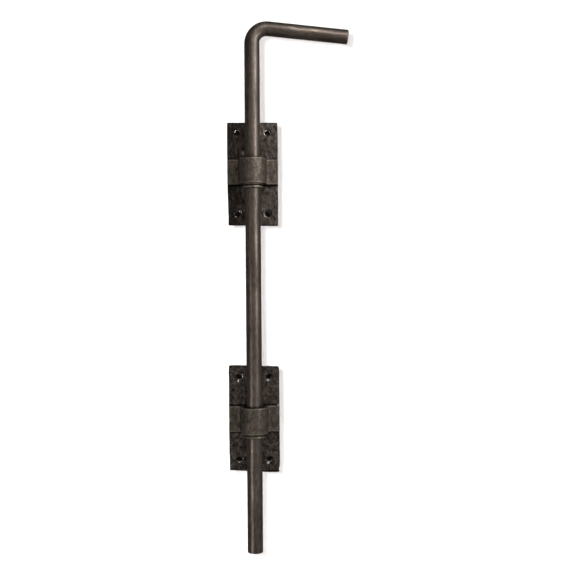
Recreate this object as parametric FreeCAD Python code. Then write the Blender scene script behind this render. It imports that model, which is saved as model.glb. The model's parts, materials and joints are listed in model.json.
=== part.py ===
import FreeCAD, Part
import math
import os

from FreeCAD import Placement, Rotation, Vector

# A surface-mounted cane bolt. A round bar, bent over at its top into a handle, slides and turns in two
# guides that are screwed to a door or gate. Each guide is a plate, a strap keeper that arches over the
# bar, four rivets that hold the keeper's feet to the plate, and a collared sleeve that lines the keeper.
#
# Frame: +Z up along the bar, -Y away from the door, +X towards the handle at rest.
# Origin: the middle of the lower plate, on its back face, which lies on the door.
# Millimetres.

# The bar: 5/8 inch round, bent a little past square so that the handle droops.
ROD_RADIUS = 15.875 / 2
ROD_TIP_Z = -134.5
BEND_CORNER_Z = 395.9
BEND_RADIUS = 14.8
HANDLE_DROOP_DEG = 5.7
HANDLE_REACH = 97.2
TIP_CHAMFER = 0.8
HANDLE_CHAMFER = 1.2

# The plates: 2 inch flat bar, spread slightly by the hammer.
PLATE_WIDTH = 52.0
PLATE_THICKNESS = 6.0
PLATE_CORNER = 1.6
PLATE_EDGE = 0.9
CLIPPED_CORNER = 2.2

# Countersunk screw holes, for No. 10 wood screws.
SCREW_HOLE_RADIUS = 2.6
SCREW_HEAD_RADIUS = 4.2
SCREW_SPACING_X = 30.7

# The keepers: 1 inch strap, bent over the bar with two joggled feet.
STRAP_THICKNESS = 3.6
KEEPER_BORE_RADIUS = 10.3
KEEPER_FOOT_BEND = 2.4
KEEPER_EDGE = 0.6
AXIS_OFF_PLATE = 12.5

# The sleeves: collar below the keeper, flared mouth seated a little below its top.
SLEEVE_BORE_RADIUS = ROD_RADIUS + 0.05
SLEEVE_RADIUS = 10.0
COLLAR_RADIUS = 10.9
COLLAR_HEIGHT = 3.8
COLLAR_EDGE = 0.7
FLARE = 1.2
SLEEVE_RECESS = 3.0
SLEEVE_GAP = 0.3
FLARE_GAP = 0.25

# The rivets: countersunk head in the plate's back, tail peened flush in the foot's front.
RIVET_RADIUS = 2.0
RIVET_HEAD_RADIUS = 3.6
RIVET_TAIL_RADIUS = 2.8
RIVET_SPACING_Z = 13.0

# The two guides, bottom to top.
GUIDES = {
    "lower": {
        "plate_z": 0.0,
        "plate_height": 109.0,
        "screws_z": -0.6,
        "screw_spacing_z": 84.7,
        "keeper_z": -0.3,
        "keeper_height": 27.0,
        "clipped": True,
    },
    "upper": {
        "plate_z": 249.6,
        "plate_height": 105.5,
        "screws_z": 250.7,
        "screw_spacing_z": 83.0,
        "keeper_z": 251.4,
        "keeper_height": 25.8,
        "clipped": False,
    },
}

UP = Vector(0, 0, 1)
FRONT = Vector(0, -1, 0)

AXIS_Y = -(PLATE_THICKNESS + AXIS_OFF_PLATE)
PLATE_FRONT_Y = -PLATE_THICKNESS
FOOT_FRONT_Y = PLATE_FRONT_Y - STRAP_THICKNESS
HUMP_RADIUS = KEEPER_BORE_RADIUS + STRAP_THICKNESS
FOOT_START_X = HUMP_RADIUS + KEEPER_FOOT_BEND
RIVET_X = (FOOT_START_X + PLATE_WIDTH / 2) / 2


def arc_through(start, middle, end):
    return Part.Arc(start, middle, end).toShape()


def straight(start, end):
    return Part.LineSegment(start, end).toShape()


def frustum_along_y(x, z, y_wide, radius_wide, radius_narrow):
    """A 45 degree cone on the line x, z, whose wide end is at y_wide and which narrows towards +Y."""
    depth = radius_wide - radius_narrow
    return Part.makeCone(radius_wide, radius_narrow, depth, Vector(x, y_wide, z), -FRONT)


def along_y(x, z, y_start, y_end, radius):
    return Part.makeCylinder(radius, y_end - y_start, Vector(x, y_start, z), -FRONT)


def screw_places(guide):
    half_x = SCREW_SPACING_X / 2
    half_z = guide["screw_spacing_z"] / 2
    return [(sx * half_x, guide["screws_z"] + sz * half_z) for sz in (-1, 1) for sx in (-1, 1)]


def rivet_places(guide):
    half_z = RIVET_SPACING_Z / 2
    return [(sx * RIVET_X, guide["keeper_z"] + sz * half_z) for sz in (-1, 1) for sx in (-1, 1)]


def cane_rod():
    """One round bar: straight shank, quarter bend and drooping handle, swept along its centreline."""
    turn = math.radians(90 + HANDLE_DROOP_DEG)
    set_back = BEND_RADIUS * math.tan(turn / 2)
    droop = math.radians(HANDLE_DROOP_DEG)
    handle_direction = Vector(math.cos(droop), 0, -math.sin(droop))
    corner = Vector(0, AXIS_Y, BEND_CORNER_Z)
    handle_length = HANDLE_REACH / math.cos(droop)
    bend_start = corner - UP * set_back
    bend_end = corner + handle_direction * set_back
    shank_length = bend_start.z - ROD_TIP_Z
    tip = Part.makeCone(
        ROD_RADIUS - TIP_CHAMFER, ROD_RADIUS, TIP_CHAMFER, Vector(0, AXIS_Y, ROD_TIP_Z), UP
    )
    shank = Part.makeCylinder(
        ROD_RADIUS,
        shank_length - TIP_CHAMFER,
        Vector(0, AXIS_Y, ROD_TIP_Z + TIP_CHAMFER),
        UP,
    )
    section = Part.Face(Part.Wire(Part.makeCircle(ROD_RADIUS, bend_start, UP)))
    bend_centre = bend_start + Vector(BEND_RADIUS, 0, 0)
    bend = section.revolve(bend_centre, Vector(0, 1, 0), math.degrees(turn))
    arm_length = handle_length - set_back - HANDLE_CHAMFER
    arm = Part.makeCylinder(ROD_RADIUS, arm_length, bend_end, handle_direction)
    arm_end = bend_end + handle_direction * arm_length
    nose = Part.makeCone(
        ROD_RADIUS, ROD_RADIUS - HANDLE_CHAMFER, HANDLE_CHAMFER, arm_end, handle_direction
    )
    return tip.multiFuse([shank, bend, arm, nose]).removeSplitter()


def plate(guide):
    """A flat plate with rounded edges in front, four countersunk screw holes and four rivet holes."""
    width = PLATE_WIDTH
    height = guide["plate_height"]
    corner = Vector(-width / 2, PLATE_FRONT_Y, guide["plate_z"] - height / 2)
    blank = Part.makeBox(width, PLATE_THICKNESS, height, corner)
    if guide["clipped"]:
        clipped = [
            e
            for e in blank.Edges
            if abs(e.tangentAt(e.FirstParameter).y) > 0.99
            and e.CenterOfMass.x > 0
            and e.CenterOfMass.z < guide["plate_z"]
        ]
        blank = blank.makeChamfer(CLIPPED_CORNER, clipped)
    corners = [e for e in blank.Edges if abs(e.tangentAt(e.FirstParameter).y) > 0.99]
    blank = blank.makeFillet(PLATE_CORNER, corners)
    front_edges = [e for e in blank.Edges if abs(e.BoundBox.YMax - PLATE_FRONT_Y) < 1e-6]
    blank = blank.makeFillet(PLATE_EDGE, front_edges)
    cuts = []
    for x, z in screw_places(guide):
        cuts.append(along_y(x, z, PLATE_FRONT_Y, 0, SCREW_HOLE_RADIUS))
        cuts.append(frustum_along_y(x, z, PLATE_FRONT_Y, SCREW_HEAD_RADIUS, SCREW_HOLE_RADIUS))
    for x, z in rivet_places(guide):
        cuts.append(rivet(x, z))
    return blank.cut(Part.makeCompound(cuts))


def rivet(x, z):
    """A solid rivet, flush at both ends."""
    shank = along_y(x, z, FOOT_FRONT_Y, 0, RIVET_RADIUS)
    tail = frustum_along_y(x, z, FOOT_FRONT_Y, RIVET_TAIL_RADIUS, RIVET_RADIUS)
    head_depth = RIVET_HEAD_RADIUS - RIVET_RADIUS
    head = Part.makeCone(
        RIVET_HEAD_RADIUS, RIVET_RADIUS, head_depth, Vector(x, 0, z), FRONT
    )
    return shank.multiFuse([tail, head])


def keeper_side(sign):
    """One half of the strap's section, as edges from the crown's outside round to its inside."""
    knee_y = FOOT_FRONT_Y - KEEPER_FOOT_BEND
    outer_bend = KEEPER_FOOT_BEND + STRAP_THICKNESS
    diagonal = math.sqrt(0.5)
    foot_end_x = PLATE_WIDTH / 2

    def at(x, y):
        return Vector(sign * x, y, 0)

    def on_arc(radius):
        return at(FOOT_START_X - radius * diagonal, knee_y + radius * diagonal)

    def on_hump(radius):
        return at(radius * diagonal, AXIS_Y - radius * diagonal)

    outside = [
        arc_through(at(0, AXIS_Y - HUMP_RADIUS), on_hump(HUMP_RADIUS), at(HUMP_RADIUS, AXIS_Y)),
        straight(at(HUMP_RADIUS, AXIS_Y), at(HUMP_RADIUS, knee_y)),
        arc_through(
            at(HUMP_RADIUS, knee_y), on_arc(KEEPER_FOOT_BEND), at(FOOT_START_X, FOOT_FRONT_Y)
        ),
        straight(at(FOOT_START_X, FOOT_FRONT_Y), at(foot_end_x, FOOT_FRONT_Y)),
        straight(at(foot_end_x, FOOT_FRONT_Y), at(foot_end_x, PLATE_FRONT_Y)),
    ]
    inside = [
        straight(at(foot_end_x, PLATE_FRONT_Y), at(FOOT_START_X, PLATE_FRONT_Y)),
        arc_through(
            at(FOOT_START_X, PLATE_FRONT_Y), on_arc(outer_bend), at(KEEPER_BORE_RADIUS, knee_y)
        ),
        straight(at(KEEPER_BORE_RADIUS, knee_y), at(KEEPER_BORE_RADIUS, AXIS_Y)),
        arc_through(
            at(KEEPER_BORE_RADIUS, AXIS_Y),
            on_hump(KEEPER_BORE_RADIUS),
            at(0, AXIS_Y - KEEPER_BORE_RADIUS),
        ),
    ]
    return outside + inside


def keeper(guide):
    """A strap bent to an arch over the bar, with a foot either side and a counterbored mouth at the top."""
    height = guide["keeper_height"]
    bottom = guide["keeper_z"] - height / 2
    top = bottom + height
    edges = keeper_side(1) + keeper_side(-1)
    outline = Part.Wire(Part.__sortEdges__(edges))
    strap = Part.Face(outline).extrude(UP * height)
    strap.translate(UP * bottom)
    crown_edges = [
        e
        for e in strap.Edges
        if isinstance(e.Curve, Part.Circle)
        and abs(e.Curve.Radius - HUMP_RADIUS) < 1e-6
        and abs(e.tangentAt(e.FirstParameter).z) < 1e-6
    ]
    strap = strap.makeFillet(KEEPER_EDGE, crown_edges)
    mouth_radius = KEEPER_BORE_RADIUS + FLARE
    seat_top = top - SLEEVE_RECESS
    seat = Part.makeCone(
        KEEPER_BORE_RADIUS, mouth_radius, FLARE, Vector(0, AXIS_Y, seat_top - FLARE), UP
    )
    counterbore = Part.makeCylinder(
        mouth_radius, SLEEVE_RECESS, Vector(0, AXIS_Y, seat_top), UP
    )
    rivets = [rivet(x, z) for x, z in rivet_places(guide)]
    return strap.cut(Part.makeCompound([seat.fuse(counterbore)] + rivets))


def sleeve(guide):
    """The keeper's lining: a tube with a collar under the keeper and a mouth flared into its seat."""
    keeper_bottom = guide["keeper_z"] - guide["keeper_height"] / 2
    sleeve_top = keeper_bottom + guide["keeper_height"] - SLEEVE_RECESS
    collar_top = keeper_bottom - SLEEVE_GAP
    collar_bottom = collar_top - COLLAR_HEIGHT
    flare_radius = SLEEVE_RADIUS + FLARE - FLARE_GAP
    flare_bottom = sleeve_top - (flare_radius - SLEEVE_RADIUS)
    profile = [
        (SLEEVE_BORE_RADIUS, collar_bottom),
        (COLLAR_RADIUS - COLLAR_EDGE, collar_bottom),
        (COLLAR_RADIUS, collar_bottom + COLLAR_EDGE),
        (COLLAR_RADIUS, collar_top),
        (SLEEVE_RADIUS, collar_top),
        (SLEEVE_RADIUS, flare_bottom),
        (flare_radius, sleeve_top),
        (SLEEVE_BORE_RADIUS, sleeve_top),
    ]
    points = [Vector(r, AXIS_Y, z) for r, z in profile]
    section = Part.Face(Part.makePolygon(points + points[:1]))
    return section.revolve(Vector(0, AXIS_Y, 0), UP, 360)


def nodes():
    made = {"cane_rod": cane_rod()}
    for name, guide in GUIDES.items():
        made[f"{name}_plate"] = plate(guide)
        made[f"{name}_keeper"] = keeper(guide)
        made[f"{name}_sleeve"] = sleeve(guide)
        for number, (x, z) in enumerate(rivet_places(guide), start=1):
            made[f"{name}_keeper_rivet_{number}"] = rivet(x, z)
    return made


os.makedirs("parts", exist_ok=True)
for node, shape in nodes().items():
    if shape.ShapeType != "Solid" and len(shape.Solids) == 1:
        shape = shape.Solids[0]
    print(node, shape.ShapeType, shape.isValid(), round(shape.Volume, 1))
    shape.exportStep(f"parts/{node}.step")
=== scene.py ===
import json
import math
from collections import namedtuple

import bmesh
import bpy
from mathutils import Matrix, Vector


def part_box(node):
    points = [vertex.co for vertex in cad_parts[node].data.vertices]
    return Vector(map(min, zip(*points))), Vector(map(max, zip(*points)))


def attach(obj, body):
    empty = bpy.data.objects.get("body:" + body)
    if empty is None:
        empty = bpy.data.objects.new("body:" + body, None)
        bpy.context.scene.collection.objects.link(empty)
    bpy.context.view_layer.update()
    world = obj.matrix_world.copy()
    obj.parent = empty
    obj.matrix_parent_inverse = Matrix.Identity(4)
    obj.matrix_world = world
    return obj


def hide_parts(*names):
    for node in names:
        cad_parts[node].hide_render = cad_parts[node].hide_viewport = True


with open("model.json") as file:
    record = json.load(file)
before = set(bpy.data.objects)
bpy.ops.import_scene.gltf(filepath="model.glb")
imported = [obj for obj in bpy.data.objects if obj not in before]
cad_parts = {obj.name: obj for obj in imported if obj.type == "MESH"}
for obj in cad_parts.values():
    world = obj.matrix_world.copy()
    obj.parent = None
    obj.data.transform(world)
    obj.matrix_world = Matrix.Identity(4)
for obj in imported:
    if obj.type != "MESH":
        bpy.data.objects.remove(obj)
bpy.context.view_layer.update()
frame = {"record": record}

# A surface-mounted cane bolt: a bent bar that slides and turns in two guides, in browned iron with
# bronze sleeves. Metres, +Z up along the bar, -Y away from the door, +X towards the handle.

MM = 0.001

GUIDES = ("lower", "upper")
MOUNTS = {mount["name"]: mount for mount in frame["record"]["mounts"]}

# Places and sizes read from the frame.
ROD_LOW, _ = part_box("cane_rod")
KEEPER_LOW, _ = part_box("lower_keeper")
PLATE_LOW, PLATE_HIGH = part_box("lower_plate")
ROD_RADIUS = MOUNTS["rod_free_end"]["dims"]["r_mm"] * MM
AXIS_Y = MOUNTS["rod_free_end"]["pos_m"][1]
PLATE_FRONT_Y = PLATE_LOW[1]
PLATE_BACK_Y = PLATE_HIGH[1]

# The bar's bend and handle.
BEND_RADIUS = 14.8 * MM
BEND_CORNER_Z = 395.9 * MM
HANDLE_DROOP = math.radians(5.7)
HANDLE_REACH = 97.2 * MM
HANDLE_THINNING = 0.935
BAR_SIDES = 64
BEND_STEPS = 28
RING_STEP = 5.0 * MM
TIP_ROUNDING = 0.8 * MM
WAVE_DEPTH = 0.14 * MM

# The handle's end: its length, then how far along it and inward each ring lies, as shares of it.
NOSE = 1.3 * MM
NOSE_RINGS = [(0.25, 0.03), (0.7, 0.35), (1.0, 1.0)]

# Knocks on the handle: distance from the bend's corner, rise and depth. A negative depth stands proud.
DINGS = [(46 * MM, 0, 0.5 * MM), (51 * MM, 1 * MM, -0.3 * MM), (84 * MM, -1 * MM, 0.3 * MM)]
DING_SIDE = Vector((0, -0.85, 0.5))
DING_REACH = 4 * MM

# The keepers' strap.
STRAP = 3.6 * MM
HUMP_RADIUS = AXIS_Y - KEEPER_LOW[1]
FOOT_BEND = 2.4 * MM
FOOT_BEND_SEGMENTS = 8
HUMP_SIDES = 64
STRAP_CELL = 2.6 * MM
STRAP_LONGEST_EDGE = 3 * MM
STRAP_EASE = 0.7 * MM
STRAP_DENT_DEPTH = 0.2 * MM
STRAP_PIT_DEPTH = 0.1 * MM

# The sleeves and the seats that they lie in.
SLEEVE_BORE = ROD_RADIUS + 0.05 * MM
SLEEVE_RADIUS = 10.0 * MM
COLLAR_RADIUS = 10.9 * MM
COLLAR_HEIGHT = 3.8 * MM
COLLAR_FOOT = 0.9 * MM
BEAD = 0.7 * MM
BEAD_MIDDLE = 0.95 * MM
BEAD_RADIUS = COLLAR_RADIUS - 0.4 * MM
GROOVE_RADIUS = 9.1 * MM
COLLAR_RIM = 0.6 * MM
FLARE = 0.95 * MM
TURNED_SIDES = 96
KEEPER_BORE = 10.3 * MM
SEAT_FLARE = 1.2 * MM

# The collar's eased rim: how far each point lies in from its radius and down from its top.
RIM_POINTS = [(0.2 * MM, 0.5 * MM), (0, 0.3 * MM), (0, 0)]

# The screw holes and their dished countersinks. Depths are below the plate's face.
SCREW_HOLE_RADIUS = MOUNTS["lower_plate_screws"]["dims"]["hole_r_mm"] * MM
SCREW_HEAD_RADIUS = 4.2 * MM
DISH_DEPTH = 1.5 * MM
DISH_KNEE_OUT = 0.5 * MM
DISH_KNEE_DEPTH = 1.0 * MM
DISH_LIP_DEPTH = 0.1 * MM
HOLE_SIDES = 48

# The rivets.
RIVET_RADIUS = 2.0 * MM
RIVET_HEAD_RADIUS = 3.6 * MM
RIVET_TAIL_RADIUS = 2.8 * MM
RIVET_CLEARANCE = 0.02 * MM
RIVET_DOME = 0.12 * MM
RIVET_SIDES = 32

# How far a cutter runs past the surface that it cuts.
BEYOND = 1.0 * MM

# The plates.
PLATE_CELL = 2.6 * MM
PLATE_EASE = 0.9 * MM
PLATE_DENT_DEPTH = 0.42 * MM
PLATE_PIT_DEPTH = 0.16 * MM

# A face whose normal reaches this far back belongs to a plate's back.
BACK_FACING = 0.7

# How each plate's outline and face were knocked out of true: place across and up the plate as shares
# of its half size, push in mm, reach of the push in mm.
DENTS = {
    "lower": [
        (1, 1, (0, 0, -1.2), 50),
        (1, -1, (0.2, 0, -1.7), 50),
        (-1, -1, (0.4, 0, 0.7), 40),
        (1, -1, (-1.2, 0, 1.1), 4.5),
        (1, 1, (-0.4, 0, -0.4), 5),
        (-1, 1, (0.2, 0, -0.3), 4),
    ],
    "upper": [
        (-1, -1, (0.8, 0, 0.3), 50),
        (1, -1, (0, 0, -0.2), 30),
        (1, 1, (-0.2, 0, -0.2), 5),
        (-0.42, 0.41, (0, -1.3, 0), 3.4),
    ],
}

# Small pale spots, painted highlights where a burr and a foot's end catch the light: place in mm, half
# width and half height in mm.
GLINT_SPOTS = {"lower": [(24.6, 13.6, 0.9, 0.7)], "upper": [(-9.4, 271.3, 1.0, 2.2)]}

UP = Vector((0, 0, 1))
FRONT = Vector((0, -1, 0))

# How near counts as the same place, and how near two points are to be welded.
NEAR = 0.01 * MM
WELD = 0.005 * MM


# --- Modelling -------------------------------------------------------------------------------


def deselect_all():
    if bpy.context.object and bpy.context.object.mode == "EDIT":
        bpy.ops.object.mode_set(mode="OBJECT")
    bpy.ops.object.select_all(action="DESELECT")


def start(name):
    """Names the primitive that was just added and opens it for editing."""
    piece = bpy.context.object
    piece.name = name
    piece.data.name = name
    bpy.ops.object.transform_apply(location=True, rotation=True, scale=True)
    bpy.ops.object.mode_set(mode="EDIT")
    return piece


def pick(piece, test, kind="VERT"):
    """Selects the vertices, edges or faces whose middle passes the test."""
    bpy.ops.mesh.select_mode(type=kind)
    bpy.ops.mesh.select_all(action="DESELECT")
    mesh = bmesh.from_edit_mesh(piece.data)
    if kind == "VERT":
        for vertex in mesh.verts:
            vertex.select_set(bool(test(vertex.co)))
    elif kind == "EDGE":
        for edge in mesh.edges:
            first, last = (vertex.co for vertex in edge.verts)
            edge.select_set(bool(test((first + last) / 2, (last - first).normalized())))
    else:
        for face in mesh.faces:
            face.select_set(bool(test(face.calc_center_median(), face.normal)))
    mesh.select_flush_mode()
    bmesh.update_edit_mesh(piece.data)


def upright(way):
    return abs(way.z) > 0.9


def apply_modifier(piece, kind, **settings):
    modifier = piece.modifiers.new(kind.title(), kind)
    for key, value in settings.items():
        setattr(modifier, key, value)
    bpy.ops.object.modifier_apply(modifier=modifier.name)


def close_up():
    """Ends editing: welds seams and turns faces outward."""
    bpy.ops.mesh.select_mode(type="VERT")
    bpy.ops.mesh.select_all(action="SELECT")
    bpy.ops.mesh.remove_doubles(threshold=WELD)
    bpy.ops.mesh.normals_make_consistent(inside=False)
    bpy.ops.object.mode_set(mode="OBJECT")


def smooth(angle):
    """Shades smooth across every edge that turns by less than an angle in degrees."""
    bpy.ops.object.shade_smooth_by_angle(angle=math.radians(angle))


def draw_out(step, scale=1.0, about=(0, 0, 0)):
    """Extrudes what is selected by a step, then scales its new end about a point."""
    bpy.ops.mesh.extrude_region_move(TRANSFORM_OT_translate={"value": step})
    if scale != 1.0:
        bpy.ops.transform.resize(value=(scale,) * 3, center_override=about)


def turned(name, profile, base, axis, sides, solid):
    """A ring drawn out through a profile of (radius, height along the axis).

    A solid shape has both ends filled. Any other is a tube, closed on its own first ring.
    """
    deselect_all()
    radius, height = profile[0]
    tilt = (math.radians(90), 0, 0) if abs(axis.y) > 0.5 else (0, 0, 0)
    fill = "NGON" if solid else "NOTHING"
    bpy.ops.mesh.primitive_circle_add(
        vertices=sides,
        radius=radius,
        fill_type=fill,
        location=base + axis * height,
        rotation=tilt,
    )
    piece = start(name)
    bpy.ops.mesh.select_mode(type="EDGE")
    bpy.ops.mesh.select_all(action="SELECT")
    rings = profile[1:] if solid else profile[1:] + profile[:1]
    for next_radius, next_height in rings:
        bpy.ops.mesh.extrude_edges_move(
            TRANSFORM_OT_translate={"value": axis * (next_height - height)}
        )
        bpy.ops.transform.resize(
            value=(next_radius / radius,) * 3, center_override=base + axis * next_height
        )
        radius, height = next_radius, next_height
    if solid:
        bpy.ops.mesh.edge_face_add()
    close_up()
    return piece


def wander(name, size, depth):
    """A soft random pattern for uneven surfaces. Its size is the spacing of its lumps."""
    texture = bpy.data.textures.new(name, "CLOUDS")
    texture.noise_scale = size
    texture.noise_depth = depth
    return texture


HAMMER_DENTS = wander("hammer_dents", 8 * MM, 1)
SCALE_PITS = wander("scale_pits", 2.2 * MM, 2)
ROLLING_WAVES = wander("rolling_waves", 26 * MM, 1)


def sink(piece, texture, amount, level=1.0):
    """Dents the surface by a pattern of a whole height. Level 1 is all inwards, 0.5 half outwards."""
    apply_modifier(
        piece,
        "DISPLACE",
        texture=texture,
        texture_coords="LOCAL",
        strength=amount,
        mid_level=level,
    )


def subdivide(piece, levels):
    apply_modifier(piece, "SUBSURF", levels=levels, render_levels=levels)


def push(piece, place, step, reach):
    """Drags the vertex nearest to a place by a step, and its neighbours with it out to a reach."""
    place = Vector(place)
    slack = 1e-7
    mesh = bmesh.from_edit_mesh(piece.data)
    nearest = min((vertex.co - place).length for vertex in mesh.verts)
    pick(piece, lambda co: (co - place).length < nearest + slack)
    bpy.ops.transform.translate(
        value=step,
        use_proportional_edit=True,
        proportional_edit_falloff="SMOOTH",
        proportional_size=reach,
    )


def cut_away(piece, cutter):
    """Cuts one shape out of another. The cut faces keep the cutter's finish."""
    deselect_all()
    piece.select_set(True)
    bpy.context.view_layer.objects.active = piece
    apply_modifier(
        piece,
        "BOOLEAN",
        operation="DIFFERENCE",
        solver="EXACT",
        object=cutter,
        material_mode="TRANSFER",
    )
    bpy.data.objects.remove(cutter)


# --- Finishes --------------------------------------------------------------------------------


def linear(code):
    """The linear colour of an sRGB hex value such as "#4d443c"."""
    channels = [int(code[i : i + 2], 16) / 255 for i in (1, 3, 5)]
    return [c / 12.92 if c <= 0.04045 else ((c + 0.055) / 1.055) ** 2.4 for c in channels] + [1.0]


def node(tree, kind, inputs=None, stops=None, **settings):
    """Adds a node with its settings. An input is set to a value, or linked to another node's output."""
    made = tree.nodes.new(kind)
    for key, value in settings.items():
        setattr(made, key, value)
    for socket, value in (inputs or {}).items():
        if isinstance(value, bpy.types.NodeSocket):
            tree.links.new(value, made.inputs[socket])
        else:
            made.inputs[socket].default_value = value
    for number, (position, colour) in enumerate(stops or []):
        elements = made.color_ramp.elements
        stop = elements[number] if number < len(elements) else elements.new(position)
        stop.position = position
        stop.color = colour
    return made


def new_finish(name):
    finish = bpy.data.materials.new(name)
    finish.use_nodes = True
    tree = finish.node_tree
    tree.nodes.clear()
    return finish, tree


# The dark colour of painted shade, laid into recesses, along edges and on the shaded side.
PAINTED_SHADE_TINT = "#120f0c"
# The pale colour of the painted highlight laid along the keepers' top and bottom edges.
PAINTED_RIM_LIGHT = "#9a9087"

# A strip of another colour across a finish: the axis that it lies across, its place on that axis, how
# far it fades below and above, its strength and its colour.
Band = namedtuple("Band", "axis middle below above strength tint")

# How much of the mottle comes from the patches and from the tooth, where on it the dark, middle and
# light colours fall, and the range of the patches that the roughness follows.
PATCH_SHARE = 0.55
TOOTH_SHARE = 0.45
TONE_STOPS = (0.4, 0.5, 0.62)
PATCH_RANGE = (0.35, 0.65)


def band_cover(tree, place, band):
    """The band's strength at its middle, fading smoothly to 0 on both sides."""
    rise = node(
        tree,
        "ShaderNodeMapRange",
        {
            "Value": place,
            "From Min": band.middle - band.below,
            "From Max": band.middle,
            "To Max": band.strength,
        },
        interpolation_type="SMOOTHSTEP",
    ).outputs["Result"]
    fall = node(
        tree,
        "ShaderNodeMapRange",
        {
            "Value": place,
            "From Min": band.middle,
            "From Max": band.middle + band.above,
            "To Min": 1.0,
            "To Max": 0.0,
        },
        interpolation_type="SMOOTHSTEP",
    ).outputs["Result"]
    return node(tree, "ShaderNodeMath", {0: rise, 1: fall}, operation="MULTIPLY").outputs[0]


def waxed_metal(name, tones, lump, grain, rough, bump, lean=0.0, stretch=1.0, bands=()):
    """Mottled, toothed metal under wax, whether browned iron or bronze.

    tones are its dark, middle and light colours, lump the size of its colour patches, grain the size
    of its tooth, rough its least and greatest roughness and bump the tooth's height. Both patterns run
    along a line that leans from upright, stretched by a factor. bands are laid over the colour. Every
    grain below is coarser than the real tooth, which is too fine to show.
    """
    finish, tree = new_finish(name)
    whole = node(tree, "ShaderNodeTexCoord").outputs["Object"]
    place = node(
        tree,
        "ShaderNodeMapping",
        {"Vector": whole, "Rotation": (0, lean, 0), "Scale": (1, 1, stretch)},
        vector_type="TEXTURE",
    ).outputs["Vector"]
    patches = node(
        tree,
        "ShaderNodeTexNoise",
        {"Vector": place, "Scale": 1 / lump, "Detail": 4.0, "Roughness": 0.6},
    ).outputs["Fac"]
    tooth = node(
        tree,
        "ShaderNodeTexNoise",
        {"Vector": place, "Scale": 1 / grain, "Detail": 3.0, "Roughness": 0.65},
    ).outputs["Fac"]
    coarse = node(
        tree, "ShaderNodeMath", {0: patches, 1: PATCH_SHARE}, operation="MULTIPLY"
    ).outputs[0]
    mottle = node(
        tree, "ShaderNodeMath", {0: tooth, 1: TOOTH_SHARE, 2: coarse}, operation="MULTIPLY_ADD"
    ).outputs[0]
    colour = node(
        tree,
        "ShaderNodeValToRGB",
        {"Fac": mottle},
        stops=[(stop, linear(tone)) for stop, tone in zip(TONE_STOPS, tones)],
    ).outputs["Color"]
    along = node(tree, "ShaderNodeSeparateXYZ", {"Vector": whole}).outputs
    for band in bands:
        cover = band_cover(tree, along[band.axis], band)
        # Sockets 6, 7 and 2 are the colours of a Mix node set to colour, and its result.
        colour = node(
            tree,
            "ShaderNodeMix",
            {"Factor": cover, 6: colour, 7: linear(band.tint)},
            data_type="RGBA",
        ).outputs[2]
    roughness = node(
        tree,
        "ShaderNodeMapRange",
        {
            "Value": patches,
            "From Min": PATCH_RANGE[0],
            "From Max": PATCH_RANGE[1],
            "To Min": rough[1],
            "To Max": rough[0],
        },
    ).outputs["Result"]
    relief = node(
        tree,
        "ShaderNodeBump",
        {"Height": tooth, "Strength": 1.0, "Distance": bump},
    ).outputs["Normal"]
    shader = node(
        tree,
        "ShaderNodeBsdfPrincipled",
        {"Base Color": colour, "Roughness": roughness, "Normal": relief, "Metallic": 1.0},
    )
    node(tree, "ShaderNodeOutputMaterial", {"Surface": shader.outputs["BSDF"]})
    return finish


# A band of painted shade: the finish darkened towards the shade colour.
def shade_band(axis, middle, below, above, strength=1.0):
    return Band(axis, middle, below, above, strength, PAINTED_SHADE_TINT)


def bar_shade_rings(guide):
    """Painted shade: dark rings on the bar, just above a guide's keeper and below its collar."""
    keeper_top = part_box(f"{guide}_keeper")[1][2]
    collar_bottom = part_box(f"{guide}_sleeve")[0][2]
    return [
        shade_band("Z", keeper_top - 1 * MM, 6 * MM, 4.5 * MM, 0.8),
        shade_band("Z", collar_bottom + 0.5 * MM, 2 * MM, 6 * MM, 0.8),
    ]


def collar_groove_shade(guide):
    """Painted shade in the groove above a collar's bead."""
    collar_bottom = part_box(f"{guide}_sleeve")[0][2]
    return shade_band("Z", collar_bottom + 2.6 * MM, 1 * MM, 1.6 * MM)


def bar_iron(name, lean, bands):
    return waxed_metal(
        name,
        tones=("#534a44", "#675d55", "#7c7169"),
        lump=7 * MM,
        grain=1.2 * MM,
        rough=(0.38, 0.48),
        bump=0.04 * MM,
        lean=lean,
        stretch=5.0,
        bands=bands,
    )


# Hot-rolled bar under wax: a long soft sheen, broken by faint lengthwise streaks where the brown is
# rubbed thinner. The streaks run up the shank and turn to follow the handle. The real ones are finer
# than this and are drawn coarser to show.
# The shank's finish also carries painted shade as dark rings just above each keeper and below each
# collar.
SHANK_IRON = bar_iron("waxed_rolled_steel", 0.0, bar_shade_rings("lower") + bar_shade_rings("upper"))
HANDLE_IRON = bar_iron("waxed_rolled_handle", math.radians(90) + HANDLE_DROOP, [])


def plate_iron(guide, name, lean, stretch, more_bands):
    """Plate patina, with painted shade along the plate's edges and against the keeper's feet."""
    low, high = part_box(f"{guide}_plate")
    foot_bottom, foot_top = (corner[2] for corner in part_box(f"{guide}_keeper"))
    bands = [
        shade_band("Z", low[2], 1 * MM, 1.5 * MM),
        shade_band("Z", high[2], 1.5 * MM, 1 * MM),
        shade_band("Z", foot_bottom, 2.6 * MM, 1 * MM),
        shade_band("Z", foot_top, 1 * MM, 2 * MM),
        shade_band("X", low[0], 1 * MM, 1.8 * MM, 0.9),
        shade_band("X", high[0], 1.8 * MM, 1 * MM, 0.9),
    ]
    return waxed_metal(
        name,
        tones=("#312b27", "#4f4741", "#776d66"),
        lump=3.4 * MM,
        grain=1.5 * MM,
        rough=(0.4, 0.55),
        bump=0.22 * MM,
        lean=lean,
        stretch=stretch,
        bands=bands + more_bands,
    )


# Painted shadow on the upper guide's side away from the handle, darkening its plate and strap there.
SHADED_SIDE_X = -19 * MM
SHADED_PLATE_SIDE = shade_band("X", SHADED_SIDE_X, 30 * MM, 12 * MM, 0.62)
SHADED_STRAP_SIDE = shade_band("X", SHADED_SIDE_X, 30 * MM, 6 * MM, 0.3)
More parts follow.
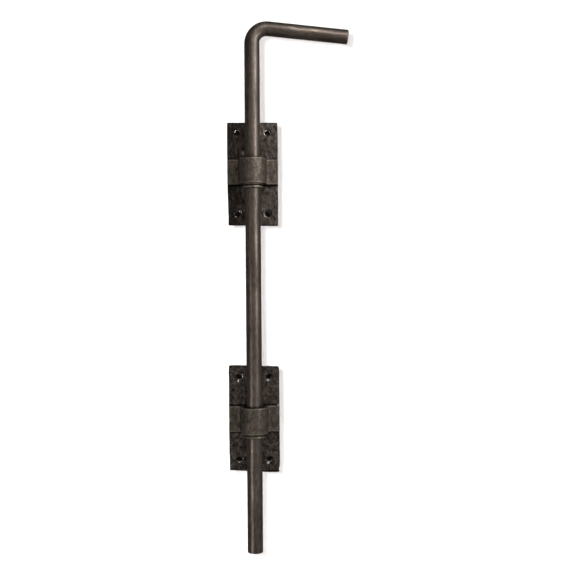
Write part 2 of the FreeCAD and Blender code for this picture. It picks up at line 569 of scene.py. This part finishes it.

# Forged plate under brown patina: a rough, broken sheen that flecks light off the high spots and sinks
# to near black in the pits. The lower plate is mottled all ways. The upper one is streaked upright, as
# if drawn out under the hammer. The real tooth is finer than this and is drawn coarser to show.
# Both plates carry painted shade along their edges and by the keeper's feet.
PLATE_IRON = {
    "lower": plate_iron("lower", "hammered_browned_iron", math.radians(20), 1.3, []),
    "upper": plate_iron("upper", "drawn_browned_iron", math.radians(-12), 2.4, [SHADED_PLATE_SIDE]),
}

# The plates' backs, which lie against the door: the same browned plate, evenly mottled and duller. The
# real tooth is finer than this and is drawn coarser to show.
BACK_IRON = waxed_metal(
    "scaled_plate_back",
    tones=("#3a332e", "#574f48", "#776d66"),
    lump=4 * MM,
    grain=1.5 * MM,
    rough=(0.45, 0.6),
    bump=0.12 * MM,
)


def keeper_iron(guide, name, more_bands):
    """Strap patina, with a painted highlight along the top and bottom edges."""
    bottom, top = (corner[2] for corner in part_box(f"{guide}_keeper"))
    inward = 0.9 * MM
    bands = [
        Band("Z", bottom + inward, 0.6 * MM, 0.8 * MM, 0.5, PAINTED_RIM_LIGHT),
        Band("Z", top - inward, 0.8 * MM, 0.6 * MM, 0.5, PAINTED_RIM_LIGHT),
    ]
    return waxed_metal(
        name,
        tones=("#4e4740", "#635a51", "#786e66"),
        lump=4 * MM,
        grain=1.6 * MM,
        rough=(0.55, 0.68),
        bump=0.08 * MM,
        stretch=1.6,
        bands=bands + more_bands,
    )


# Strap iron rubbed by handling: a smoother, greyer brown than the plates, with a broad dull gleam on the
# hump and a painted highlight along its top and bottom edges. The upper strap has painted shadow on its
# side away from the handle. The tooth of both straps is drawn coarser than it is, to show.
KEEPER_IRON = {
    "lower": keeper_iron("lower", "strap_iron_painted_rims", []),
    "upper": keeper_iron("upper", "strap_iron_painted_rims_and_shade", [SHADED_STRAP_SIDE]),
}

# Bronze rubbed by the bar: a small, slightly yellow gleam on the bead of the thin collar below each
# keeper, with painted shade black in the groove above it.
SLEEVE_BRONZE = waxed_metal(
    "oiled_bronze",
    tones=("#7d7367", "#978d80", "#b0a698"),
    lump=3 * MM,
    grain=0.8 * MM,
    rough=(0.52, 0.62),
    bump=0.03 * MM,
    bands=[collar_groove_shade(guide) for guide in GUIDES],
)

# Iron cut back by a countersink and browned again: a dark ring round each hole, glossy enough to throw
# one bright sliver where its side meets the light.
BARED_IRON = waxed_metal(
    "cut_countersink",
    tones=("#4a433d", "#6f6760", "#948c85"),
    lump=3 * MM,
    grain=0.8 * MM,
    rough=(0.2, 0.27),
    bump=0.03 * MM,
)

# A pale, dull spot: a painted highlight on a burr and at a foot's end.
GLINT_IRON = waxed_metal(
    "painted_glint_iron",
    tones=("#b0a8a0", "#c4bcb4", "#d6cfc8"),
    lump=3 * MM,
    grain=0.8 * MM,
    rough=(0.55, 0.65),
    bump=0.05 * MM,
)


def dress(piece, *finishes):
    piece.data.materials.clear()
    for finish in finishes:
        piece.data.materials.append(finish)


# --- The bar ---------------------------------------------------------------------------------


BEND_TURN = math.radians(90) + HANDLE_DROOP
BEND_START_Z = BEND_CORNER_Z - BEND_RADIUS * math.tan(BEND_TURN / 2)
BEND_CENTRE = Vector((BEND_RADIUS, AXIS_Y, BEND_START_Z))
HANDLE_CORNER = Vector((0, AXIS_Y, BEND_CORNER_Z))
HANDLE_WAY = Vector((math.cos(HANDLE_DROOP), 0, -math.sin(HANDLE_DROOP)))


def bend_point(angle):
    """The middle of the bar at an angle round the bend."""
    return BEND_CENTRE + Vector((-math.cos(angle), 0, math.sin(angle))) * BEND_RADIUS


def draw_shank(piece, foot):
    """Draws the rounded edge of the tip, then the straight shank up to the bend."""
    pick(piece, lambda co: (co - foot).length > ROD_RADIUS - TIP_ROUNDING * 1.2)
    radius = ROD_RADIUS - TIP_ROUNDING
    height = 0.0
    for part in (30, 60, 90):
        next_radius = ROD_RADIUS - TIP_ROUNDING * (1 - math.sin(math.radians(part)))
        next_height = TIP_ROUNDING * (1 - math.cos(math.radians(part)))
        draw_out(UP * (next_height - height), next_radius / radius, foot + UP * next_height)
        radius, height = next_radius, next_height
    rise = BEND_START_Z - foot.z - height
    rings = round(rise / RING_STEP)
    for _ in range(rings):
        draw_out(UP * (rise / rings))


def sweep_bend(piece):
    """Spins the open end round the bend, then thins its rings more and more towards the handle."""
    bpy.ops.mesh.spin(steps=BEND_STEPS, angle=-BEND_TURN, center=BEND_CENTRE, axis=(0, 1, 0))
    step = BEND_TURN / BEND_STEPS
    slack = 1e-6
    for number in range(1, BEND_STEPS + 1):
        angle = step * number

        def on_ring(place, angle=angle):
            past_start = place.z > BEND_START_Z + slack or place.x > BEND_RADIUS
            turned_by = math.atan2(place.z - BEND_START_Z, BEND_RADIUS - place.x)
            return past_start and abs(turned_by - angle) < step / 4

        pick(piece, on_ring)
        thinning = 1 + (HANDLE_THINNING - 1) * math.sin(math.pi / 2 * number / BEND_STEPS)
        bpy.ops.transform.resize(value=(thinning,) * 3, center_override=bend_point(angle))


def draw_handle(piece):
    """Draws the straight handle and its eased end, closes it and knocks it about."""
    end = HANDLE_CORNER + HANDLE_WAY * (HANDLE_REACH / math.cos(HANDLE_DROOP))
    reach = (end - bend_point(BEND_TURN)).length - NOSE
    rings = round(reach / RING_STEP)
    for _ in range(rings):
        draw_out(HANDLE_WAY * (reach / rings))
    centre = end - HANDLE_WAY * NOSE
    radius = ROD_RADIUS * HANDLE_THINNING
    for along, inward in NOSE_RINGS:
        next_radius = ROD_RADIUS * HANDLE_THINNING - NOSE * inward
        next_centre = end - HANDLE_WAY * NOSE * (1 - along)
        draw_out(next_centre - centre, next_radius / radius, next_centre)
        radius, centre = next_radius, next_centre
    bpy.ops.mesh.edge_face_add()
    bpy.ops.mesh.inset(thickness=ROD_RADIUS / 3)
    bpy.ops.mesh.inset(thickness=ROD_RADIUS / 4)
    for distance, rise, depth in DINGS:
        spot = HANDLE_CORNER + HANDLE_WAY * distance + DING_SIDE * ROD_RADIUS
        push(piece, spot + UP * rise, -DING_SIDE * depth, DING_REACH)


def make_bar():
    """One round bar: rounded lower tip, shank, swept bend and a slightly thinner drooping handle."""
    foot = Vector((0, AXIS_Y, ROD_LOW[2]))
    deselect_all()
    bpy.ops.mesh.primitive_circle_add(
        vertices=BAR_SIDES, radius=ROD_RADIUS - TIP_ROUNDING, fill_type="NGON", location=foot
    )
    piece = start("bar")
    bpy.ops.mesh.select_all(action="SELECT")
    for _ in range(2):
        bpy.ops.mesh.inset(thickness=ROD_RADIUS / 3)
    draw_shank(piece, foot)
    sweep_bend(piece)
    draw_handle(piece)
    close_up()
    subdivide(piece, 1)
    sink(piece, ROLLING_WAVES, WAVE_DEPTH)
    smooth(50)
    dress(piece, SHANK_IRON, HANDLE_IRON)
    for face in piece.data.polygons:
        face.material_index = int(face.center.x > BEND_RADIUS)
    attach(piece, "bar")
    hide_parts("cane_rod")


# --- The guides ------------------------------------------------------------------------------


def screw_places(guide):
    mount = MOUNTS[f"{guide}_plate_screws"]
    half_x = mount["dims"]["spacing_x_mm"] / 2 * MM
    half_z = mount["dims"]["spacing_y_mm"] / 2 * MM
    middle = mount["pos_m"][2]
    return [(sx * half_x, middle + sz * half_z) for sz in (-1, 1) for sx in (-1, 1)]


def rivet_names(guide):
    return [f"{guide}_keeper_rivet_{number}" for number in (1, 2, 3, 4)]


def rivet_base(name):
    low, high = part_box(name)
    return Vector(((low[0] + high[0]) / 2, PLATE_BACK_Y, (low[2] + high[2]) / 2))


def screw_cutter(x, z):
    """A through hole and a dished countersink, drawn from behind the plate to well in front of it."""
    face = PLATE_BACK_Y - PLATE_FRONT_Y
    profile = [
        (SCREW_HOLE_RADIUS, -BEYOND),
        (SCREW_HOLE_RADIUS, face - DISH_DEPTH),
        (SCREW_HOLE_RADIUS + DISH_KNEE_OUT, face - DISH_KNEE_DEPTH),
        (SCREW_HEAD_RADIUS, face - DISH_LIP_DEPTH),
        (SCREW_HEAD_RADIUS + BEYOND, face + BEYOND),
    ]
    base = Vector((x, PLATE_BACK_Y, z))
    cutter = turned("screw_cutter", profile, base, FRONT, HOLE_SIDES, solid=True)
    dress(cutter, BARED_IRON)
    return cutter


def rivet_shape(name, base, grow, dome):
    """A countersunk head at the back, a shank, and a tail peened into the foot's countersink.

    It is grown by a clearance for a cutter, and its tail is domed by a height.
    """
    length = PLATE_BACK_Y - PLATE_FRONT_Y + STRAP
    head = RIVET_HEAD_RADIUS - RIVET_RADIUS
    tail = RIVET_TAIL_RADIUS - RIVET_RADIUS
    profile = [
        (RIVET_HEAD_RADIUS + grow, -grow),
        (RIVET_RADIUS + grow, head),
        (RIVET_RADIUS + grow, length - tail),
        (RIVET_TAIL_RADIUS + grow, length + grow),
        (RIVET_TAIL_RADIUS * 0.8, length + dome * 0.7),
        (RIVET_TAIL_RADIUS * 0.4, length + dome),
    ]
    return turned(name, profile, base, FRONT, RIVET_SIDES, solid=True)


def cut_rivet_holes(piece, guide, finish):
    for name in rivet_names(guide):
        cutter = rivet_shape("rivet_cutter", rivet_base(name), RIVET_CLEARANCE, 0)
        dress(cutter, finish)
        cut_away(piece, cutter)


def finish_plate(piece, guide):
    """Gives the plate its patina, a plainer back, and its pale spots of painted highlight."""
    finishes = [PLATE_IRON[guide], BARED_IRON, GLINT_IRON, BACK_IRON]
    glint, back = finishes.index(GLINT_IRON), finishes.index(BACK_IRON)
    dress(piece, *finishes)
    for face in piece.data.polygons:
        if face.normal.y > BACK_FACING:
            face.material_index = back
    for spot_x, spot_z, half_wide, half_high in GLINT_SPOTS[guide]:
        for face in piece.data.polygons:
            across = (face.center.x - spot_x * MM) / (half_wide * MM)
            up = (face.center.z - spot_z * MM) / (half_high * MM)
            if face.normal.y < 0 and across**2 + up**2 < 1:
                face.material_index = glint


def make_plate(guide):
    """Hammered flat bar with eased, uneven edges and four countersunk screw holes."""
    low, high = (Vector(corner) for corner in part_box(f"{guide}_plate"))
    size = high - low
    middle = (low + high) / 2
    deselect_all()
    bpy.ops.mesh.primitive_grid_add(
        x_subdivisions=round(size.x / PLATE_CELL),
        y_subdivisions=round(size.z / PLATE_CELL),
        size=1,
        location=(middle.x, low.y, middle.z),
        rotation=(math.radians(90), 0, 0),
    )
    bpy.ops.transform.resize(value=(size.x, 1, size.z))
    piece = start(f"{guide}_hammered_plate")
    for across, up, step, reach in DENTS[guide]:
        place = (middle.x + across * size.x / 2, low.y, middle.z + up * size.z / 2)
        push(piece, place, [part * MM for part in step], reach * MM)
    bpy.ops.mesh.select_all(action="SELECT")
    draw_out((0, size.y, 0))
    bpy.ops.mesh.select_all(action="SELECT")
    bpy.ops.mesh.normals_make_consistent(inside=False)
    bpy.ops.mesh.select_all(action="DESELECT")
    bpy.ops.mesh.select_mode(type="EDGE")
    bpy.ops.mesh.edges_select_sharp(sharpness=math.radians(60))
    bpy.ops.mesh.bevel(offset=PLATE_EASE, segments=3, affect="EDGES")
    close_up()
    subdivide(piece, 2)
    sink(piece, HAMMER_DENTS, PLATE_DENT_DEPTH, level=0.75)
    sink(piece, SCALE_PITS, PLATE_PIT_DEPTH, level=0.75)
    finish_plate(piece, guide)
    for x, z in screw_places(guide):
        cut_away(piece, screw_cutter(x, z))
    cut_rivet_holes(piece, guide, BACK_IRON)
    smooth(40)
    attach(piece, "guides")
    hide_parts(f"{guide}_plate")


def mouth_cutter(guide, top):
    """The keeper's mouth: a cone that seats the sleeve's flare, then a straight counterbore."""
    seat_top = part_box(f"{guide}_sleeve")[1][2]
    profile = [
        (KEEPER_BORE - BEYOND, seat_top - SEAT_FLARE - BEYOND),
        (KEEPER_BORE + SEAT_FLARE, seat_top),
        (KEEPER_BORE + SEAT_FLARE, top + BEYOND),
    ]
    base = Vector((0, AXIS_Y, 0))
    cutter = turned("mouth_cutter", profile, base, UP, TURNED_SIDES, solid=True)
    dress(cutter, KEEPER_IRON[guide])
    return cutter


def draw_foot(piece, side, leg_x, foot_y, reach):
    """Draws one end of the arch down to the plate, then out sideways, and rounds the bend between."""

    def at_leg(place, way):
        return upright(way) and place.x * side > leg_x - NEAR

    def at_bend(place, way):
        on_foot = abs(place.y - foot_y) < NEAR
        return upright(way) and on_foot and abs(place.x - side * leg_x) < NEAR

    pick(piece, at_leg, "EDGE")
    draw_out((0, foot_y - AXIS_Y, 0))
    draw_out((side * reach, 0, 0))
    pick(piece, at_bend, "EDGE")
    bpy.ops.mesh.bevel(offset=FOOT_BEND + STRAP / 2, segments=FOOT_BEND_SEGMENTS, affect="EDGES")


def divide_strap(piece, height):
    """Cuts the arch and feet into cells small enough to take the dents."""
    pick(piece, lambda place, way: upright(way), "EDGE")
    bpy.ops.mesh.subdivide(number_cuts=round(height / STRAP_CELL))
    mesh = bmesh.from_edit_mesh(piece.data)
    bpy.ops.mesh.select_all(action="DESELECT")
    for edge in mesh.edges:
        edge.select_set(edge.calc_length() > STRAP_LONGEST_EDGE)
    bmesh.update_edit_mesh(piece.data)
    bpy.ops.mesh.subdivide(number_cuts=3)


def make_keeper(guide):
    """A strap arched over the bar on two feet: a half round drawn down and out, then made thick."""
    low, high = (Vector(corner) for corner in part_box(f"{guide}_keeper"))
    height = high.z - low.z
    middle_radius = HUMP_RADIUS - STRAP / 2
    foot_y = PLATE_FRONT_Y - STRAP / 2
    deselect_all()
    bpy.ops.mesh.primitive_cylinder_add(
        vertices=HUMP_SIDES,
        radius=middle_radius,
        depth=height,
        end_fill_type="NOTHING",
        location=(0, AXIS_Y, (low.z + high.z) / 2),
    )
    piece = start(f"{guide}_strap_keeper")
    pick(piece, lambda place, normal: place.y > AXIS_Y, "FACE")
    bpy.ops.mesh.delete(type="FACE")
    for side in (-1, 1):
        draw_foot(piece, side, middle_radius, foot_y, high.x - middle_radius)
    divide_strap(piece, height)
    close_up()
    apply_modifier(piece, "SOLIDIFY", thickness=STRAP, offset=0.0, use_even_offset=True)
    apply_modifier(
        piece,
        "BEVEL",
        width=STRAP_EASE,
        segments=3,
        limit_method="ANGLE",
        angle_limit=math.radians(50),
    )
    subdivide(piece, 1)
    sink(piece, HAMMER_DENTS, STRAP_DENT_DEPTH)
    sink(piece, SCALE_PITS, STRAP_PIT_DEPTH)
    dress(piece, KEEPER_IRON[guide])
    cut_away(piece, mouth_cutter(guide, high.z))
    cut_rivet_holes(piece, guide, KEEPER_IRON[guide])
    smooth(40)
    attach(piece, "guides")
    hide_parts(f"{guide}_keeper")


def sleeve_profile(top):
    """The sleeve's outline as (radius, height): beaded collar, plain barrel and flared mouth."""
    profile = [(SLEEVE_BORE, 0), (SLEEVE_BORE + COLLAR_FOOT, 0), (GROOVE_RADIUS, BEAD_MIDDLE - BEAD)]
    for part in (-60, -30, 0, 30, 60):
        angle = math.radians(part)
        profile.append(
            (BEAD_RADIUS - BEAD + BEAD * math.cos(angle), BEAD_MIDDLE + BEAD * math.sin(angle))
        )
    profile += [(GROOVE_RADIUS, BEAD_MIDDLE + BEAD), (GROOVE_RADIUS, COLLAR_HEIGHT - COLLAR_RIM)]
    profile += [(COLLAR_RADIUS - inward, COLLAR_HEIGHT - down) for inward, down in RIM_POINTS]
    profile += [
        (SLEEVE_RADIUS, COLLAR_HEIGHT),
        (SLEEVE_RADIUS, top - FLARE),
        (SLEEVE_RADIUS + FLARE, top),
        (SLEEVE_BORE, top),
    ]
    return profile


def make_sleeve(guide):
    """A turned lining: beaded collar below the keeper, plain barrel, mouth flared at the top."""
    low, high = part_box(f"{guide}_sleeve")
    profile = sleeve_profile(high[2] - low[2])
    base = Vector((0, AXIS_Y, low[2]))
    piece = turned(f"{guide}_bronze_sleeve", profile, base, UP, TURNED_SIDES, solid=False)
    smooth(30)
    dress(piece, SLEEVE_BRONZE)
    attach(piece, "sleeves")
    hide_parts(f"{guide}_sleeve")


def make_rivets(guide):
    for node_name in rivet_names(guide):
        piece = rivet_shape(f"{node_name}_peened", rivet_base(node_name), 0, RIVET_DOME)
        smooth(30)
        dress(piece, KEEPER_IRON[guide])
        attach(piece, "guides")
        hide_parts(node_name)


# --- The studio ------------------------------------------------------------------------------

CAMERA_DISTANCE = 1.0
EYE = Vector((-0.0105, AXIS_Y - CAMERA_DISTANCE, 0.150))
AIM = Vector((0.0348, AXIS_Y, 0.1333))
VIEW_WIDTH = 0.5819
CAMERA_ROLL = math.radians(-0.374)
SENSOR = 36.0

# The backdrop's distance behind the door's face, the floor's below the bar and the cards' width.
BACKDROP_Y = 0.08
FLOOR_DROP = 0.15
CARD_SPAN = 6
FIBRE = 2 * MM

# Each dark card behind a plate is painted shade for its screw holes to look into. It is smaller than its
# plate all round and lies a little behind it.
HOLE_SHADE_MARGIN = 3 * MM
HOLE_SHADE_GAP = 1 * MM

# The iron's softboxes: name, place, target, width, height and power.
IRON_LAMPS = [
    ("right", (0.56, -0.58, 0.3), (0, AXIS_Y, 0.2), 0.12, 0.34, 1.7),
    ("left", (-0.55, -0.62, -0.22), (0, AXIS_Y, -0.1), 0.14, 0.55, 1.45),
    ("top", (0.25, -0.66, 0.86), (0.06, AXIS_Y, 0.39), 0.2, 0.14, 3.5),
    ("sparkle_right", (0.62, -0.48, 0.75), (0, 0, 0.15), 0.12, 0.12, 3.0),
    ("behind", (0.2, 0.9, 0.55), (0, 0, 0.13), 0.6, 0.6, 5.0),
    ("sparkle_left", (-0.62, -0.48, -0.5), (0, 0, 0.1), 0.12, 0.12, 4.2),
]

# The backdrop's lamp, just beside the camera.
PAPER_LAMP = ("paper", EYE + Vector((-0.064, 0, 0.042)), (0.03, 0, 0.13), 0.05, 0.05, 7.8)

# The room round the iron: where it is brightest, and its grey from the far side (0) to there (1).
BRIGHTEST = Vector((0.65, -1.0, 0.05)).normalized()
ROOM_GREYS = [(0.0, 0.26), (0.16, 0.14), (0.4, 0.16), (0.75, 0.27), (1.0, 0.42)]


def aimed(obj, place, target, roll=0.0):
    """Puts a light or camera at a place, facing a target."""
    facing = (Vector(target) - Vector(place)).to_track_quat("-Z", "Y").to_matrix().to_4x4()
    obj.matrix_world = Matrix.Translation(place) @ facing @ Matrix.Rotation(roll, 4, "Z")
    bpy.context.scene.collection.objects.link(obj)
    return obj


def make_camera():
    data = bpy.data.cameras.new("camera")
    data.sensor_width = SENSOR
    data.lens = SENSOR * CAMERA_DISTANCE / VIEW_WIDTH
    camera = bpy.data.objects.new("camera", data)
    bpy.context.scene.camera = aimed(camera, EYE, AIM, CAMERA_ROLL)


def softbox(name, place, target, width, height, power):
    data = bpy.data.lights.new(name, "AREA")
    data.shape = "RECTANGLE"
    data.size = width
    data.size_y = height
    data.energy = power
    return aimed(bpy.data.objects.new(name, data), place, target)


def make_lights():
    """Softboxes for the iron are kept off the cards, and the backdrop's lamp is kept off the iron."""
    for lamp in [softbox(*settings) for settings in IRON_LAMPS]:
        lamp.visible_diffuse = False
        lamp.visible_camera = False
    softbox(*PAPER_LAMP).visible_glossy = False


def make_world():
    """A grey room for the iron, an even off-white for the cards and plain white for the camera."""
    world = bpy.data.worlds.new("studio")
    bpy.context.scene.world = world
    world.use_nodes = True
    tree = world.node_tree
    tree.nodes.clear()
    way = node(tree, "ShaderNodeTexCoord").outputs["Generated"]
    facing = node(
        tree, "ShaderNodeVectorMath", {0: way, 1: BRIGHTEST}, operation="DOT_PRODUCT"
    ).outputs["Value"]
    share = node(
        tree, "ShaderNodeMath", {0: facing, 1: 0.5, 2: 0.5}, operation="MULTIPLY_ADD"
    ).outputs[0]
    tone = node(
        tree,
        "ShaderNodeValToRGB",
        {"Fac": share},
        stops=[(position, (grey, grey, grey, 1)) for position, grey in ROOM_GREYS],
    ).outputs["Color"]
    path = node(tree, "ShaderNodeLightPath").outputs
    on_iron = node(tree, "ShaderNodeBackground", {"Color": tone}).outputs[0]
    on_cards = node(tree, "ShaderNodeBackground", {"Color": linear("#efeae8")}).outputs[0]
    seen = node(tree, "ShaderNodeBackground", {"Color": linear("#ffffff")}).outputs[0]
    light = node(
        tree, "ShaderNodeMixShader", {"Fac": path["Is Diffuse Ray"], 1: on_iron, 2: on_cards}
    ).outputs[0]
    both = node(
        tree, "ShaderNodeMixShader", {"Fac": path["Is Camera Ray"], 1: light, 2: seen}
    ).outputs[0]
    node(tree, "ShaderNodeOutputWorld", {"Surface": both})


def card_finish(name, tones, one_sided=False):
    """Matt card, its faint fibre drawn coarser than it is, to show.

    A one-sided card is clear from behind, where it would hide the work.
    """
    finish, tree = new_finish(name)
    place = node(tree, "ShaderNodeTexCoord").outputs["Object"]
    fibre = node(tree, "ShaderNodeTexNoise", {"Vector": place, "Scale": 1 / FIBRE}).outputs["Fac"]
    tone = node(
        tree,
        "ShaderNodeValToRGB",
        {"Fac": fibre},
        stops=[(0.3, linear(tones[0])), (0.7, linear(tones[1]))],
    ).outputs["Color"]
    surface = node(
        tree,
        "ShaderNodeBsdfPrincipled",
        {"Base Color": tone, "Roughness": 0.9, "Specular IOR Level": 0.0},
    ).outputs["BSDF"]
    if one_sided:
        behind = node(tree, "ShaderNodeNewGeometry").outputs["Backfacing"]
        clear = node(tree, "ShaderNodeBsdfTransparent").outputs[0]
        surface = node(tree, "ShaderNodeMixShader", {"Fac": behind, 1: surface, 2: clear}).outputs[0]
    node(tree, "ShaderNodeOutputMaterial", {"Surface": surface})
    return finish


def card(name, width, height, middle, finish, standing=True):
    deselect_all()
    tilt = (math.radians(90), 0, 0) if standing else (0, 0, 0)
    bpy.ops.mesh.primitive_plane_add(size=1, location=middle, rotation=tilt)
    bpy.ops.transform.resize(value=(width, 1, height) if standing else (width, height, 1))
    sheet = bpy.context.object
    sheet.name = name
    dress(sheet, finish)
    sheet.visible_glossy = False
    return sheet


def make_ground():
    """White card behind and below, and a dark card of painted shade behind each plate for its holes to
    look into.
    """
    white = ("#f7f7f7", "#fafafa")
    behind = (0, BACKDROP_Y, 0)
    below = (0, 0, ROD_LOW[2] - FLOOR_DROP)
    paper = card_finish("white_card", white, one_sided=True)
    card("backdrop", CARD_SPAN, CARD_SPAN, behind, paper).visible_shadow = False
    card("floor", CARD_SPAN, CARD_SPAN, below, card_finish("white_floor", white), standing=False)
    hole_shade = card_finish("painted_hole_shade", ("#0b0a09", "#141210"), one_sided=True)
    for guide in GUIDES:
        low, high = (Vector(corner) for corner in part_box(f"{guide}_plate"))
        middle = (low + high) / 2
        place = (middle.x, high.y + HOLE_SHADE_GAP, middle.z)
        width = high.x - low.x - 2 * HOLE_SHADE_MARGIN
        height = high.z - low.z - 2 * HOLE_SHADE_MARGIN
        card(f"{guide}_felt", width, height, place, hole_shade).visible_shadow = False


make_bar()
for guide in GUIDES:
    make_plate(guide)
    make_keeper(guide)
    make_sleeve(guide)
    make_rivets(guide)
make_camera()
make_lights()
make_world()
make_ground()
bpy.context.scene.view_settings.view_transform = "Standard"
